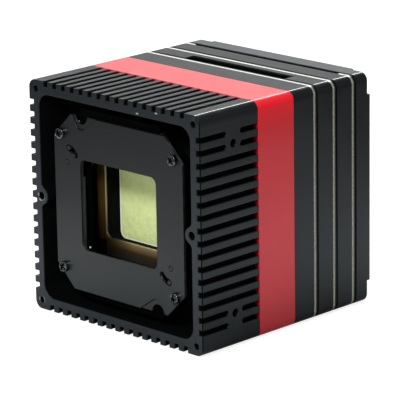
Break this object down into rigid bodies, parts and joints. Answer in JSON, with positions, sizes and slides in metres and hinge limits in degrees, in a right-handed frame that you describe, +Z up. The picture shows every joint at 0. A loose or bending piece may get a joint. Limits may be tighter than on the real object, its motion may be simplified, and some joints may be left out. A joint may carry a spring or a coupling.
{
  "type": "thermal camera module",
  "caption": "Square finned camera core with a shuttered window in its front, a coloured spacer ring, stacked frames with boards between them and a rear connector.",
  "frame": {"origin": "middle of the casing's underside", "axes": "+X to the right seen from the front, +Y from the window to the rear connector, +Z up"},
  "size_m": [0.045, 0.0454, 0.045],
  "materials": {
    "black_anodised": "satin black anodised",
    "red_anodised": "satin red anodised",
    "plate_steel": "satin dark grey",
    "blade_steel": "matt black",
    "lever_steel": "satin",
    "screw_steel": "satin",
    "black_plastic": "matt",
    "yoke_iron": "satin",
    "magnet": "satin",
    "coil_copper": "lacquered",
    "gold_plate": "satin gold plate",
    "coated_window": "coated, gloss",
    "ceramic": "matt",
    "detector_die": "gloss",
    "board_laminate": "satin",
    "chip_resin": "matt",
    "ferrite": "matt"
  },
  "bodies": {
    "module": {"detector_chip": "detector_die", "detector_leads": "gold_plate", "detector_package": "ceramic", "detector_trim_ring": "gold_plate", "detector_window": "coated_window", "flat_port_connector": "black_plastic", "front_frame": "black_anodised", "front_housing": "black_anodised", "interface_board": "board_laminate", "interface_board_stacker": "black_plastic", "lower_actuator_coil": "coil_copper", "lower_actuator_yoke": "yoke_iron", "memory_chips": "chip_resin", "middle_frame": "black_anodised", "power_inductors": "ferrite", "processor_board": "board_laminate", "processor_chip": "chip_resin", "rear_connector": "black_plastic", "rear_cover": "black_anodised", "rear_frame": "black_anodised", "red_spacer_ring": "red_anodised", "sensor_board": "board_laminate", "sensor_board_stacker": "black_plastic", "shutter_base": "black_plastic", "shutter_cover_plate": "plate_steel", "shutter_mask_plate": "plate_steel", "shutter_screws": "screw_steel", "stack_screws": "screw_steel", "upper_actuator_coil": "coil_copper", "upper_actuator_yoke": "yoke_iron", "video_board": "board_laminate", "video_board_stacker": "black_plastic", "video_chip": "chip_resin"},
    "upper_blade": {"upper_shutter_blade": "blade_steel"},
    "lower_blade": {"lower_shutter_blade": "blade_steel"},
    "upper_lever": {"upper_drive_lever": "lever_steel", "upper_rotor_magnet": "magnet"},
    "lower_lever": {"lower_drive_lever": "lever_steel", "lower_rotor_magnet": "magnet"}
  },
  "joints": [
    {"name": "upper_lever_swing", "type": "hinge", "parent": "module", "child": "upper_lever", "pos_m": [-0.0135, -0.0201, 0.0302], "axis": [0, 1, 0], "range_deg": [0, 45]},
    {"name": "lower_lever_swing", "type": "hinge", "parent": "module", "child": "lower_lever", "pos_m": [0.0135, -0.0201, 0.0148], "axis": [0, 1, 0], "range_deg": [0, 45]},
    {"name": "upper_blade_slide", "type": "slide", "parent": "module", "child": "upper_blade", "axis": [0, 0, -1], "range_m": [0, 0.0094]},
    {"name": "lower_blade_slide", "type": "slide", "parent": "module", "child": "lower_blade", "axis": [0, 0, 1], "range_m": [0, 0.0094]}
  ],
  "couplings": [
    {"joint": "lower_blade_slide", "follows": "upper_blade_slide", "ratio": 1},
    {"joint": "upper_lever_swing", "follows": "upper_blade_slide", "rad_per_m": 83.55},
    {"joint": "lower_lever_swing", "follows": "upper_blade_slide", "rad_per_m": 83.55}
  ]
}
